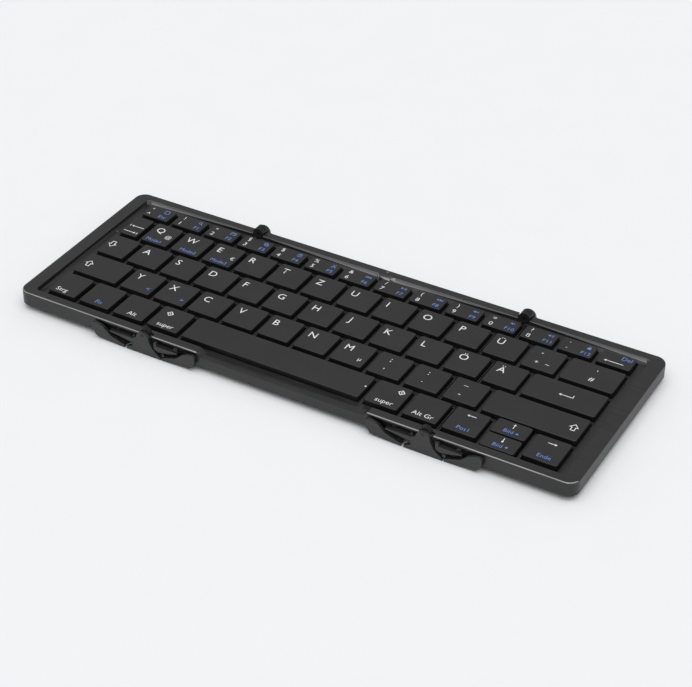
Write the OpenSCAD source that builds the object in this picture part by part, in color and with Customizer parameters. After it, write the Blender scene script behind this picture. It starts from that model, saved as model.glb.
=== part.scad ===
// Folding keyboard in three sections, opened out flat.
// X runs along the length, Y from the front edge to the back, Z up from the table.
// The origin is on the table, under the middle of the opened keyboard.

/* [Keys] */
// Distance from one key to the next along a row
key_pitch = 17.2; // [16.4:0.1:20.8]
// Distance from one row to the next
row_pitch = 17.4; // [16.4:0.1:21]
// Clear space between neighbouring caps
key_gap = 2.3; // [2.1:0.1:2.8]
// Depth of the short caps in the back row
short_cap_d = 8.9; // [7.4:0.1:12]
// Height of a cap with its skirt
cap_h = 3; // [2.6:0.1:3.1]
// Corner radius of a cap seen from above
cap_r = 1.1; // [0.6:0.1:1.6]
// Thickness of a cap's roof
cap_roof = 1; // [0.7:0.1:1.2]
// Thickness of a cap's skirt
cap_wall = 0.8; // [0.6:0.1:1]
// How far a key goes down
key_travel = 1.6; // [1:0.1:1.6]

/* [Case] */
// Thickness of a section from its cover to its rim
case_t = 6.8; // [6.6:0.1:8.2]
// Width of the rim at the left and right ends
side_rim = 6.5; // [5.4:0.1:9]
// Width of the rim along the front and back
long_rim = 4.1; // [4.1:0.1:6]
// Floor of the well between the rim and the first cap at the ends
side_margin = 4.35; // [3:0.05:6]
// Floor of the well between the rim and the caps at the front and back
long_margin = 2.8; // [2.4:0.1:4]
// Depth of the well that the keys stand in
well_depth = 2.2; // [1.8:0.1:2.3]
// Outer corner radius seen from above
corner_r = 5; // [4:0.5:6]
// Corner radius of the well
well_r = 1.6; // [1:0.1:2.5]
// Thickness of the plate between the keys
web_t = 1; // [0.8:0.1:1.1]
// Thickness of the bottom covers
cover_t = 0.9; // [0.8:0.05:1]
// Gap between two sections where they fold
split_gap = 0.4; // [0.3:0.05:0.5]
// Length of the low stretch of front rim in front of the space bar
thumb_l = 75; // [60:1:80]
// Height of the covers above the table
lift = 2.3; // [2:0.1:3]

/* [Folds and hinges] */
// Left fold axis, measured inwards from the gap behind the third key of the back row
fold_in_left = 5.2; // [4.6:0.1:5.8]
// Right fold axis, measured inwards from the gap in front of the last three cells of the back row
fold_in_right = 2; // [1.6:0.1:2.6]
// Height of the fold axes above the rim
axis_rise = 0.4; // [0.3:0.05:0.8]
// Radius of the ribbed barrels
barrel_r = 2.5; // [2.2:0.1:2.7]
// Length of the barrels at the front
front_barrel = 1.9; // [1.5:0.1:3.5]
// Radius of the hinge pins
pin_r = 0.7; // [0.5:0.05:0.8]
// Radial running clearance of a pin
pin_fit = 0.03; // [0.02:0.01:0.06]
// Height of an ear above its fold axis
ear_rise = 1.3; // [1.2:0.1:1.8]
// Thickness of the hinge plates in front of the case
plate_t = 1.4; // [1.1:0.1:1.8]
// Gap between a hinge plate and the case behind it
plate_gap = 0.4; // [0.3:0.05:0.6]
// Clearance under the metal hinge parts
foot_clear = 0.3; // [0.2:0.1:0.6]

/* [Inside] */
// Thickness of the circuit boards
board_t = 0.6; // [0.5:0.05:0.7]
// Gap under the circuit boards
board_gap = 0.2; // [0.2:0.05:0.3]
// Thickness of the rubber sheets under the keys
sheet_t = 0.15; // [0.1:0.05:0.2]
// Length of the battery
battery_l = 42; // [30:1:46]
// Depth of the battery from front to back
battery_d = 38; // [30:1:40]
// Thickness of the battery
battery_t = 1.8; // [1.5:0.1:1.9]
// Radius of the rubber feet
pad_r = 4; // [3:0.5:5]

/* [Hidden] */
$fn = 48;
// Clearance of a cap all round in its opening
cap_fit = 0.35;
// Height left of a dome that is pressed right down
dome_left = 0.65;
// Radii of the stems in the caps, and of the posts and pillars that hold the boards
stem_r = 1.5;
post_r = 1.5;
pillar_r = 0.7;
// Thickness of the walls along the splits, inside the frames
split_wall = 0.6;
// Gap between the boards and the walls round them
board_fit = 0.3;
// Small overlap that joins shapes of one solid
eps = 0.01;

// Widths of the cells in each row in key pitches, back row first; the last cell takes the rest
ROWS = [
    [0.925, 1, 1, 1, 1, 1, 1, 1, 1, 1, 1, 1, 1],
    [0.644, 0.92, 0.953, 0.957, 0.957, 1, 1, 1, 1, 1, 1, 1, 1],
    [0.925, 1, 1, 1, 1, 1, 1, 1, 1, 1, 1, 1],
    [1.42, 1, 1, 1, 1, 1, 1, 1, 1, 1, 1],
    [0.925, 1, 1, 1, 5, 1, 1, 1, 1]
];
// Length of every row in key pitches
row_units = 13.924;
// Cells of each row that belong to the left section, and the first cell of the right section
LEFT_CELLS = [3, 4, 3, 3, 3];
RIGHT_FROM = [11, 11, 11, 10, 7];
// Cell of the front row that holds the two half keys
half_cell = 8;

field_l = row_units * key_pitch - key_gap;
cap_d = row_pitch - key_gap;
field_d = 4 * row_pitch + short_cap_d;
well_l = field_l + 2 * side_margin;
well_d = field_d + 2 * long_margin;
body_l = well_l + 2 * side_rim;
body_d = well_d + 2 * long_rim;

z_base = lift;
z_cover = z_base + cover_t;
z_board = z_cover + board_gap;
z_sheet = z_board + board_t;
z_sheet_top = z_sheet + sheet_t;
z_rim = z_base + case_t;
z_web_top = z_rim - well_depth;
z_web = z_web_top - web_t;
z_cap = z_rim - cap_h;
z_axis = z_rim + axis_rise;
z_dome = z_sheet_top + key_travel + dome_left;

fold_left = cell_x(1, LEFT_CELLS[0]) + fold_in_left;
fold_right = cell_x(1, RIGHT_FROM[0]) - fold_in_right;

// Anchor blocks of the hinge leaves, from the fold axis, and their depth and top
anchor_near = 6;
anchor_far = 15;
anchor_d = long_rim - 0.5;
anchor_screw = 12;
z_anchor = z_rim - 2.5;
// Recess in the front and back walls behind the hinge plates
recess_half = 24;
recess_d = 1.4;
z_recess = z_rim - 1.2;
// Radius of the round top of an ear, and top of the fingers beside it
ear_r = 3.1;
z_slot = z_rim - 2.65;
// Screw of an anchor block, from the case's face
anchor_y = (recess_d + anchor_d) / 2;
// The back barrels cross the whole rim
back_barrel = long_rim - 0.35;
// Number of ribs and grooves along a barrel, and the depth of a groove
barrel_ribs = 9;
groove_depth = 0.35;
// Thickness of the tongues that carry the hinge feet under the covers, and their reach
tongue_t = 1.2;
tongue_d = 6.2;
foot_near = 9.35;
foot_far = 21;
z_foot_top = z_rim - 1.15;
// Stretch over which a finger is joined to its block
neck_near = 7;
neck_far = 13;

// Battery bay under the middle section, with the wireless module beside the battery
bay_l = 62;
bay_wall = 1;
bay_side = 1.3;
bay_d = battery_d + 2 * bay_side;
bay_y = -4;
bay_floor = 0.7;
z_bay = z_cover - battery_t - bay_floor - 0.1;
battery_x = -bay_l / 2 + bay_side + battery_l / 2;
module_l = 12;
module_d = 16;
module_t = 1.3;

// Charging socket in the back wall: its place, outer size, wall, tongue and clearance
socket_x = -24;
socket_w = 7.6;
socket_h = 2.5;
socket_d = long_rim + 1.8;
socket_wall = 0.4;
socket_tongue_w = 4.4;
socket_tongue_t = 0.5;
socket_fit = 0.2;
// Tab with the status light, in the middle of the back rim: half its foot, half its tip and its reach
tab_x = 0.8;
tab_half = 4.4;
tab_tip = 2.6;
tab_reach = 1.7;
light_x = 0.1;
light_y = (body_d - long_rim) / 2 + 0.4;
light_r = 0.6;
// Small light beside the second row
caps_light_r = 0.45;
caps_light_in = 1.2;
caps_light_up = 2.6;
// Slope of the ends of the low front rim
notch_run = 7;
notch_rise = 6;
// Domes under the caps: radius of the foot, of the top and of the hollow, and thickness of the roof
dome_r = 2.6;
dome_top_r = 1.6;
dome_wall = 0.4;

// Flexible cables over the folds: a flat run, and a pleat in a pocket of the middle cover
cable_w = 12;
cable_t = 0.1;
cable_layer = 0.14;
cable_wing = 8;
pleat_near = 4;
pleat_far = 12;
cable_end = 14;
cable_fit = 0.4;
pocket_depth = 0.3;

screw_r = 0.6;
screw_head_r = 1.1;
screw_head_h = 0.5;
screw_fit = 0.02;
// Places of the small rim screws, and distances of the others and the rubber feet from the case's edges
centre_screw_x = [-34, 28];
rim_screw_in = 30;
end_screw_in = 14;
pad_in_x = 12;
pad_in_y = 11;
centre_pad_x = 2.45 * key_pitch;

DARK = [0.16, 0.16, 0.17];
BLACK = [0.06, 0.06, 0.065];

// Clear space round the two half keys: to the key behind, to the rim in front and between the two
half_clear = 0.8;
half_back = row_back(5) + key_gap - half_clear;
half_front = row_front(5) - long_margin + half_clear;
half_line = (half_back + half_front) / 2;
// Their openings join that of the key behind
half_fit = half_clear - cap_fit + 0.05;

// Width of the cells before cell i in row r, in key pitches
function before(r, i) = i == 0 ? 0 : ROWS[r - 1][i - 1] + before(r, i - 1);
function cells(r) = len(ROWS[r - 1]) + 1;
// Left edge of cell i in row r; row 1 is at the back and row 5 at the front
function cell_x(r, i) = -(field_l + key_gap) / 2
    + key_pitch * (i >= cells(r) ? row_units : before(r, i));
function row_front(r) = -field_d / 2 + (5 - r) * row_pitch;
function row_back(r) = row_front(r) + (r == 1 ? short_cap_d : cap_d);
// Middle of the gap behind row r
function row_line(r) = row_back(r) + key_gap / 2;
function flip(list) = [for (i = [len(list) - 1:-1:0]) list[i]];
// Line where two sections part, from the front to the back, following the keys
function split_path(fold, cut) = concat(
    [[fold, -body_d], [fold, -field_d / 2 - long_margin / 2]],
    [for (r = [5:-1:1]) for (e = [0, 1]) [
        cell_x(r, cut[r - 1]),
        e == 0 ? (r == 5 ? -field_d / 2 - long_margin / 2 : row_line(r + 1))
               : (r == 1 ? field_d / 2 + long_margin / 2 : row_line(r))
    ]],
    [[fold, field_d / 2 + long_margin / 2], [fold, body_d]]
);
left_path = split_path(fold_left, LEFT_CELLS);
right_path = split_path(fold_right, RIGHT_FROM);

module rounded(l, d, r) {
    square([l - 2 * r, d], center = true);
    square([l, d - 2 * r], center = true);
    for (sx = [-1, 1], sy = [-1, 1])
        translate([sx * (l / 2 - r), sy * (d / 2 - r)]) circle(r);
}

// Strip along a split line
module kerf(path, w) {
    for (i = [0:len(path) - 2]) {
        a = path[i];
        b = path[i + 1];
        translate([min(a[0], b[0]) - w / 2, min(a[1], b[1]) - w / 2])
            square([abs(a[0] - b[0]) + w, abs(a[1] - b[1]) + w]);
    }
}

// Ground plan of section s (-1 left, 0 centre, 1 right) with a gap w at the splits
module section_plan(s, w) {
    difference() {
        intersection() {
            children();
            if (s < 0) polygon(concat([[-body_l, -body_d]], left_path, [[-body_l, body_d]]));
            if (s == 0) polygon(concat(left_path, flip(right_path)));
            if (s > 0) polygon(concat(right_path, [[body_l, body_d], [body_l, -body_d]]));
        }
        if (s <= 0) kerf(left_path, w);
        if (s >= 0) kerf(right_path, w);
    }
}

// Places a hinge's own frame: u along X from the fold axis, with the case's face at -body_d / 2
module hinge_at(fold, back) {
    translate([fold, 0, 0]) rotate([0, 0, back ? 180 : 0]) children();
}

// Extrudes a drawing in u and Z through the depth from y0 to y1
module slab(y0, y1) {
    translate([0, y1, 0]) rotate([90, 0, 0]) linear_extrude(y1 - y0) children();
}

// First and last cell of section s in row r
function first_cell(s, r) = s < 0 ? 0 : s == 0 ? LEFT_CELLS[r - 1] : RIGHT_FROM[r - 1];
function last_cell(s, r) = s < 0 ? LEFT_CELLS[r - 1] - 1 : s == 0 ? RIGHT_FROM[r - 1] - 1 : cells(r) - 1;

// Corners of a cap as [x0, y0, x1, y1]; half 1 is the upper half key and -1 the lower one
function cap_box(r, i, half) = [
    cell_x(r, i) + key_gap / 2,
    half > 0 ? half_line + half_clear / 2 : half < 0 ? half_front : row_front(r),
    cell_x(r, i + 1) - key_gap / 2,
    half < 0 ? half_line - half_clear / 2 : half > 0 ? half_back : row_back(r)
];

function caps_of(s) = [
    for (r = [1:5]) for (i = [first_cell(s, r):last_cell(s, r)])
        for (h = (r == 5 && i == half_cell) ? [-1, 1] : [0]) cap_box(r, i, h)
];
// Clearance of a cap in its opening, by its box: the half keys are told by their far edges
function fit_of(b) = b[1] == half_front || b[3] == half_back ? half_fit : cap_fit;
function middle(b) = [(b[0] + b[2]) / 2, (b[1] + b[3]) / 2];

module cap(b) {
    m = middle(b);
    color(DARK) {
        difference() {
            translate([m[0], m[1], z_cap]) linear_extrude(cap_h) rounded(b[2] - b[0], b[3] - b[1], cap_r);
            translate([b[0] + cap_wall, b[1] + cap_wall, z_cap - 1])
                cube([b[2] - b[0] - 2 * cap_wall, b[3] - b[1] - 2 * cap_wall, cap_h + 1 - cap_roof]);
        }
        translate([m[0], m[1], z_dome + 0.1]) cylinder(h = z_rim - cap_roof - z_dome, r = stem_r);
    }
}
module keys(r, from, to) {
    for (i = [from:to]) cap(cap_box(r, i, 0));
}

// Sections of the case

function rim_screws(s) = s == 0
    ? [for (x = centre_screw_x, y = [-1, 1]) [x, y * (body_d - long_rim) / 2]]
    : [for (y = [-1, 1]) for (p = [
        [s * (body_l - side_rim) / 2, y * (body_d / 2 - end_screw_in)],
        [s * (body_l / 2 - rim_screw_in), y * (body_d - long_rim) / 2]
      ]) p];
// Hinges that section s meets: [fold, back, side], where side -1 carries the ear and 1 the barrel
function hinges_of(s) = concat(
    s <= 0 ? [[fold_left, false, s < 0 ? -1 : 1], [fold_left, true, s < 0 ? 1 : -1]] : [],
    s >= 0 ? [[fold_right, false, s == 0 ? -1 : 1], [fold_right, true, s == 0 ? 1 : -1]] : []
);
function anchor_point(h) = [
    h[0] + (h[1] ? -1 : 1) * h[2] * anchor_screw,
    (h[1] ? 1 : -1) * (body_d / 2 - anchor_y)
];
// Places of the posts and pillars between the rows, in key pitches along X, clear of the splits
function posts(s) = [
    for (r = [2:5]) for (k = s == 0 ? [-2.56, -0.87, 0.87, 2.56] : [s * 6.5, s * 4.9])
        [k * key_pitch, row_line(r)]
];
// Places of the rubber feet
function pads(s) = s == 0
    ? [for (x = [-1, 1], y = [-1, 1]) [x * centre_pad_x, y * (body_d / 2 - pad_in_y)]]
    : [for (y = [-1, 1]) [s * (body_l / 2 - pad_in_x), y * (body_d / 2 - pad_in_y)]];

module bottom_cover(s) {
    color(DARK) difference() {
        union() {
            translate([0, 0, z_base]) linear_extrude(cover_t)
                section_plan(s, split_gap) rounded(body_l, body_d, corner_r);
            for (p = posts(s)) translate([p[0], p[1], z_cover - eps])
                cylinder(h = board_gap + eps, r = post_r);
            if (s == 0) translate([0, bay_y, z_bay]) linear_extrude(z_base - z_bay + eps)
                rounded(bay_l + 2 * bay_wall, bay_d + 2 * bay_wall, 3);
        }
        if (s == 0) translate([0, bay_y, z_bay + bay_floor]) linear_extrude(10) rounded(bay_l, bay_d, 2);
        for (p = rim_screws(s)) translate([p[0], p[1], 0]) {
            cylinder(h = 20, r = screw_r + screw_fit);
            cylinder(h = z_base + screw_head_h, r = screw_head_r + screw_fit);
        }
        for (h = hinges_of(s)) translate(anchor_point(h)) cylinder(h = 20, r = screw_r + screw_fit);
        // pockets for the pleats of the cables
        if (s == 0) for (side = [-1, 1]) at_cable(side)
            translate([pleat_near - cable_fit, -cable_fit, z_cover - pocket_depth])
                cube([cable_end - pleat_near + 2 * cable_fit, cable_w + 2 * cable_fit, 1]);
    }
}

// Cuts in a section's rim for the side of a hinge that it carries
module hinge_pocket(side, back) {
    face = -body_d / 2;
    barrel = back ? long_rim + eps : front_barrel + 0.3;
    // anchor block
    slab(face - 1, face + anchor_d + 0.1)
        translate([side > 0 ? anchor_near - 0.1 : -anchor_far - 0.1, 0])
            square([anchor_far - anchor_near + 0.2, z_anchor + 0.1]);
    // shallow recess behind the plates
    slab(face - 1, face + recess_d)
        translate([side > 0 ? -1 : -recess_half, z_cover]) square([recess_half + 1, z_recess - z_cover]);
    // room for the barrel
    slab(face - 1, face + barrel) translate([0, z_axis]) circle(barrel_r + 0.3);
    // room for the neck under the barrel
    if (side > 0) slab(face - 1, face + min(barrel, anchor_d + 0.1))
        polygon([[-1, 0], [anchor_near + 0.3, 0], [anchor_near + 0.3, z_anchor + 0.1],
                 [3.7, z_rim - 0.6], [3.4, z_rim + 1], [-1, z_rim + 1]]);
}

module top_frame(s) {
    cavity = z_web - z_cover;
    color(DARK) difference() {
        translate([0, 0, z_cover]) linear_extrude(z_rim - z_cover)
            section_plan(s, split_gap) rounded(body_l, body_d, corner_r);
        // the well, less the tab that carries the status light
        translate([0, 0, z_web_top]) linear_extrude(10) difference() {
            rounded(well_l, well_d, well_r);
            translate([tab_x, well_d / 2])
                polygon([[-tab_half, 1], [-tab_half, 0], [-tab_tip, -tab_reach],
                         [tab_tip, -tab_reach], [tab_half, 0], [tab_half, 1]]);
        }
        // low front rim in front of the space bar
        if (s == 0) translate([tab_x, 0, z_web_top + 0.1]) slab(-body_d, -well_d / 2 + well_r)
            polygon([[-thumb_l / 2, 0], [thumb_l / 2, 0], [thumb_l / 2 + notch_run, notch_rise],
                     [-thumb_l / 2 - notch_run, notch_rise]]);
        // room for the circuit board and the sheet, with the pillars that hold them down
        difference() {
            translate([0, 0, z_cover - 1]) linear_extrude(cavity + 1)
                section_plan(s, split_gap + 2 * split_wall) square([well_l, well_d], center = true);
            for (p = posts(s)) translate([p[0], p[1], z_sheet_top]) cylinder(h = 10, r = pillar_r);
        }
        // openings for the caps
        for (b = caps_of(s)) translate([b[0] - fit_of(b), b[1] - fit_of(b), z_cover])
            cube([b[2] - b[0] + 2 * fit_of(b), b[3] - b[1] + 2 * fit_of(b), 10]);
        for (h = hinges_of(s)) hinge_at(h[0], h[1]) hinge_pocket(h[2], h[1]);
        for (p = rim_screws(s)) translate([p[0], p[1], 0])
            cylinder(h = z_web_top - 0.6, r = screw_r + screw_fit);
        // windows for the flexible cables
        if (s <= 0) cable_window(-1);
        if (s >= 0) cable_window(1);
        if (s == 0) {
            translate([socket_x - socket_w / 2 - socket_fit, body_d / 2 - socket_d - socket_fit, 0])
                cube([socket_w + 2 * socket_fit, 10, z_cover + socket_h + socket_fit]);
            translate([light_x, light_y, 0]) cylinder(h = 20, r = light_r + screw_fit);
        }
        if (s < 0) translate(caps_light_at()) cylinder(h = 20, r = caps_light_r + screw_fit);
    }
}
function caps_light_at() = [-well_l / 2 + caps_light_in, row_front(2) + caps_light_up, 0];

// Plan of a circuit board or rubber sheet
module board_plan(s) {
    difference() {
        section_plan(s, split_gap + 2 * (split_wall + board_fit))
            square([well_l - 2 * board_fit, well_d - 2 * board_fit], center = true);
        if (s == 0) translate([socket_x - socket_w / 2 - socket_fit, body_d / 2 - socket_d - socket_fit])
            square([socket_w + 2 * socket_fit, 20]);
    }
}
module circuit_board(s) {
    color([0.05, 0.22, 0.12]) translate([0, 0, z_board]) linear_extrude(board_t) board_plan(s);
}
module dome_sheet(s) {
    h = z_dome - z_sheet_top;
    color([0.55, 0.55, 0.52]) {
        translate([0, 0, z_sheet]) linear_extrude(sheet_t) board_plan(s);
        for (b = caps_of(s)) translate([middle(b)[0], middle(b)[1], z_sheet_top - eps])
            rotate_extrude() polygon([
                [dome_r - dome_wall, 0], [dome_r, 0], [dome_top_r, h + eps],
                [0, h + eps], [0, h - dome_wall], [dome_top_r - 0.35, h - dome_wall]
            ]);
    }
}

module screw(z_head, z_tip) {
    translate([0, 0, z_head]) cylinder(h = screw_head_h, r = screw_head_r);
    translate([0, 0, z_head + screw_head_h - eps]) cylinder(h = z_tip - z_head - screw_head_h, r = screw_r);
}
module screws(s) {
    color([0.3, 0.3, 0.3]) {
        for (p = rim_screws(s)) translate(p) screw(z_base, z_web_top - 1);
        for (h = hinges_of(s)) translate(anchor_point(h)) screw(z_base - tongue_t, z_anchor - 0.8);
    }
}
module rubber_feet(s) {
    color([0.04, 0.04, 0.04]) for (p = pads(s)) translate([p[0], p[1], 0]) cylinder(h = z_base, r = pad_r);
}

// Hinge pieces, drawn in u and Z around the fold axis

module anchor(side) {
    face = -body_d / 2;
    // neck from the finger to the block in the rim
    slab(face - plate_gap - eps, face + recess_d + eps)
        translate([side > 0 ? neck_near : -neck_far, z_slot - 1]) square([neck_far - neck_near, 0.95]);
    difference() {
        slab(face + recess_d, face + anchor_d)
            translate([side > 0 ? anchor_near : -anchor_far, z_cover])
                square([anchor_far - anchor_near, z_anchor - z_cover]);
        translate([side * anchor_screw, face + anchor_y, 0])
            cylinder(h = z_anchor - 0.6, r = screw_r + screw_fit);
    }
}
module ear_leaf() {
    face = -body_d / 2;
    z_round = z_axis + ear_rise - ear_r;
    difference() {
        union() {
            slab(face - plate_gap - plate_t, face - plate_gap) {
                translate([0, z_round]) circle(ear_r);
                polygon([
                    [-ear_r, z_round], [-4.4, z_slot + 0.4], [-4.9, z_slot], [-16.4, z_slot],
                    [-16.4, z_slot - 0.6], [-5.2, z_slot - 2.1], [-5.1, z_base + 0.4], [-8.2, z_base - 1],
                    [-8.2, foot_clear], [8.7, foot_clear], [8.7, foot_clear + 0.6], [6.5, z_base + 0.4],
                    [4.7, z_slot - 2.15], [3.6, z_slot - 0.05], [ear_r, z_round]
                ]);
            }
            anchor(-1);
        }
        slab(face - 10, face + 1) translate([0, z_axis]) circle(pin_r + pin_fit);
    }
}
module barrel_leaf(back) {
    face = -body_d / 2;
    length = back ? back_barrel : front_barrel;
    groove = length / barrel_ribs;
    difference() {
        union() {
            slab(face - plate_gap - plate_t, face - plate_gap)
                polygon([
                    [5.5, z_recess - 0.1], [6.7, z_recess - 0.1], [7, z_slot], [16.8, z_slot],
                    [16.8, z_slot - 0.6], [11.2, z_slot - 2], [7.8, z_slot - 2.65],
                    [6, z_slot - 2.05], [5.5, z_slot - 0.95]
                ]);
            anchor(1);
            slab(face + 0.1, face + min(length, anchor_d))
                polygon([[0.4, z_axis - 2], [0.4, z_cover + 2.2], [anchor_near + 0.1, z_cover + 0.8],
                         [anchor_near + 0.1, z_anchor], [3.3, z_rim - 0.8], [2.3, z_rim - 0.4]]);
            // the barrel, with ribs all round
            translate([0, face + 0.1, z_axis]) rotate([-90, 0, 0]) rotate_extrude()
                polygon(concat(
                    [[0, 0]],
                    [for (i = [0:barrel_ribs - 1]) for (e = [0, 1])
                        [barrel_r - (i % 2) * groove_depth, (i + e) * groove]],
                    [[0, length]]
                ));
        }
        slab(face - 1, face + long_rim + 1) translate([0, z_axis]) circle(pin_r + pin_fit);
    }
}
module pin(back) {
    face = -body_d / 2;
    length = back ? back_barrel : front_barrel;
    slab(face - plate_gap - plate_t, face + length) translate([0, z_axis]) circle(pin_r);
}
module hinge_foot(side) {
    face = -body_d / 2;
    difference() {
        union() {
            slab(face - plate_gap - plate_t, face - plate_gap)
                polygon([
                    [side * foot_near, foot_clear], [side * foot_near, z_base - 0.8],
                    [side * 12.4, z_base + 0.2], [side * 16.4, z_base + 1.5],
                    [side * 18.4, z_foot_top - 2.35], [side * 19.6, z_foot_top - 1.2],
                    [side * 21.8, z_foot_top - 0.4], [side * 24.2, z_foot_top],
                    [side * 25.4, z_foot_top - 0.8], [side * 25.4, z_base + 1.8], [side * 23.2, z_base - 1]
                ]);
            translate([side > 0 ? foot_near : -foot_far, face - plate_gap - eps, z_base - tongue_t])
                cube([foot_far - foot_near, tongue_d + plate_gap, tongue_t]);
        }
        translate([side * anchor_screw, face + anchor_y, 0]) {
            cylinder(h = 10, r = screw_r + screw_fit);
            cylinder(h = z_base - tongue_t + screw_head_h, r = screw_head_r + screw_fit);
        }
    }
}
// Leaves or feet of every hinge that section s carries
module leaves(s) {
    color(DARK) for (h = hinges_of(s)) hinge_at(h[0], h[1])
        if (h[2] < 0) ear_leaf();
        else barrel_leaf(h[1]);
}
module hinge_feet(s) {
    color(DARK) for (h = hinges_of(s)) hinge_at(h[0], h[1]) hinge_foot(h[2]);
}

// Places a cable's frame: X from the split towards the middle of the keyboard
module at_cable(side) {
    translate([side < 0 ? cell_x(3, LEFT_CELLS[2]) : cell_x(3, RIGHT_FROM[2]), row_front(3) + 1.5, 0])
        mirror([side > 0 ? 1 : 0, 0, 0]) children();
}
module cable_window(side) {
    at_cable(side) translate([-2, -cable_fit, z_cover - 1]) cube([4, cable_w + 2 * cable_fit, 1.4]);
}
// One layer of a cable from x0 to x1, n layers below the flat run, and its bend up to the layer above
module cable_run(x0, x1, n, bend, rise) {
    z = z_cover + 0.04 - n * cable_layer;
    translate([x0, 0, z]) cube([x1 - x0, cable_w, cable_t]);
    translate([bend, 0, z]) cube([cable_t, cable_w, rise]);
}

// One module for each piece

module left_bottom_cover() { bottom_cover(-1); }
module centre_bottom_cover() { bottom_cover(0); }
module right_bottom_cover() { bottom_cover(1); }
module left_top_frame() { top_frame(-1); }
module centre_top_frame() { top_frame(0); }
module right_top_frame() { top_frame(1); }
module left_circuit_board() { circuit_board(-1); }
module centre_circuit_board() { circuit_board(0); }
module right_circuit_board() { circuit_board(1); }
module left_dome_sheet() { dome_sheet(-1); }
module centre_dome_sheet() { dome_sheet(0); }
module right_dome_sheet() { dome_sheet(1); }
module left_screws() { screws(-1); }
module centre_screws() { screws(0); }
module right_screws() { screws(1); }
module left_rubber_feet() { rubber_feet(-1); }
module centre_rubber_feet() { rubber_feet(0); }
module right_rubber_feet() { rubber_feet(1); }
module left_hinge_leaves() { leaves(-1); }
module centre_hinge_leaves() { leaves(0); }
module right_hinge_leaves() { leaves(1); }
module left_hinge_feet() { hinge_feet(-1); }
module centre_hinge_feet() { hinge_feet(0); }
module right_hinge_feet() { hinge_feet(1); }
module hinge_pins() {
    color([0.5, 0.5, 0.5]) for (f = [fold_left, fold_right], back = [false, true])
        hinge_at(f, back) pin(back);
}
module flex_cables() {
    color([0.75, 0.45, 0.1]) for (side = [-1, 1]) at_cable(side) {
        cable_run(-cable_wing, pleat_far, 0, pleat_far - cable_t, cable_t);
        cable_run(pleat_near, pleat_far, 1, pleat_far - cable_t, cable_layer + eps);
        cable_run(pleat_near, cable_end, 2, pleat_near, cable_layer + eps);
        translate([cable_end - cable_t, 0, z_cover - cable_layer * 2 + 0.04])
            cube([cable_t, cable_w, cable_layer * 2 + board_gap - 0.06]);
    }
}
module battery() {
    color([0.6, 0.62, 0.65]) translate([battery_x - battery_l / 2, bay_y - battery_d / 2, z_bay + bay_floor])
        cube([battery_l, battery_d, battery_t]);
}
module wireless_module() {
    color([0.1, 0.3, 0.35])
        translate([bay_l / 2 - bay_side - module_l, bay_y - module_d / 2, z_board - module_t])
            cube([module_l, module_d, module_t]);
}
module charging_socket() {
    color([0.75, 0.75, 0.75]) translate([socket_x - socket_w / 2, body_d / 2 - socket_d, z_cover])
        difference() {
            cube([socket_w, socket_d - 0.1, socket_h]);
            translate([socket_wall, 3 * socket_wall, socket_wall])
                cube([socket_w - 2 * socket_wall, 20, socket_h - 2 * socket_wall]);
        }
    color(BLACK)
        translate([socket_x - socket_tongue_w / 2, body_d / 2 - socket_d + 2.5 * socket_wall,
                   z_cover + (socket_h - socket_tongue_t) / 2])
            cube([socket_tongue_w, socket_d - 2.6, socket_tongue_t]);
}
module status_light() {
    color([0.9, 0.9, 0.95]) translate([light_x, light_y, z_web])
        cylinder(h = z_rim - z_web, r = light_r);
}
module caps_light() {
    color([0.9, 0.9, 0.95]) translate(caps_light_at()) translate([0, 0, z_web])
        cylinder(h = web_t, r = caps_light_r);
}

module keys_left_row_1() { keys(1, 0, 2); }
module key_tab() { keys(2, 0, 0); }
module keys_left_row_2() { keys(2, 1, 3); }
module key_caps_lock() { keys(3, 0, 0); }
module keys_left_row_3() { keys(3, 1, 2); }
module key_shift_left() { keys(4, 0, 0); }
module keys_left_row_4() { keys(4, 1, 2); }
module key_ctrl() { keys(5, 0, 0); }
module key_fn() { keys(5, 1, 1); }
module key_alt() { keys(5, 2, 2); }
module keys_centre_row_1() { keys(1, 3, 10); }
module keys_centre_row_2() { keys(2, 4, 10); }
module keys_centre_row_3() { keys(3, 3, 10); }
module keys_centre_row_4() { keys(4, 3, 9); }
module key_super_left() { keys(5, 3, 3); }
module key_space() { keys(5, 4, 4); }
module key_super_right() { keys(5, 5, 5); }
module key_alt_gr() { keys(5, 6, 6); }
module keys_right_row_1() { keys(1, 11, 12); }
module key_delete() { keys(1, 13, 13); }
module keys_right_row_2() { keys(2, 11, 13); }
module key_right_row_3() { keys(3, 11, 11); }
module key_enter() { keys(3, 12, 12); }
module key_right_row_4() { keys(4, 10, 10); }
module key_shift_right() { keys(4, 11, 11); }
module key_arrow_left() { keys(5, 7, 7); }
module key_arrow_up() { cap(cap_box(5, half_cell, 1)); }
module key_arrow_down() { cap(cap_box(5, half_cell, -1)); }
module key_arrow_right() { keys(5, 9, 9); }

left_bottom_cover();
centre_bottom_cover();
right_bottom_cover();
left_top_frame();
centre_top_frame();
right_top_frame();
left_circuit_board();
centre_circuit_board();
right_circuit_board();
left_dome_sheet();
centre_dome_sheet();
right_dome_sheet();
left_screws();
centre_screws();
right_screws();
left_rubber_feet();
centre_rubber_feet();
right_rubber_feet();
left_hinge_leaves();
centre_hinge_leaves();
right_hinge_leaves();
left_hinge_feet();
centre_hinge_feet();
right_hinge_feet();
hinge_pins();
flex_cables();
battery();
wireless_module();
charging_socket();
status_light();
caps_light();
keys_left_row_1();
key_tab();
keys_left_row_2();
key_caps_lock();
keys_left_row_3();
key_shift_left();
keys_left_row_4();
key_ctrl();
key_fn();
key_alt();
keys_centre_row_1();
keys_centre_row_2();
keys_centre_row_3();
keys_centre_row_4();
key_super_left();
key_space();
key_super_right();
key_alt_gr();
keys_right_row_1();
key_delete();
keys_right_row_2();
key_right_row_3();
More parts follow.
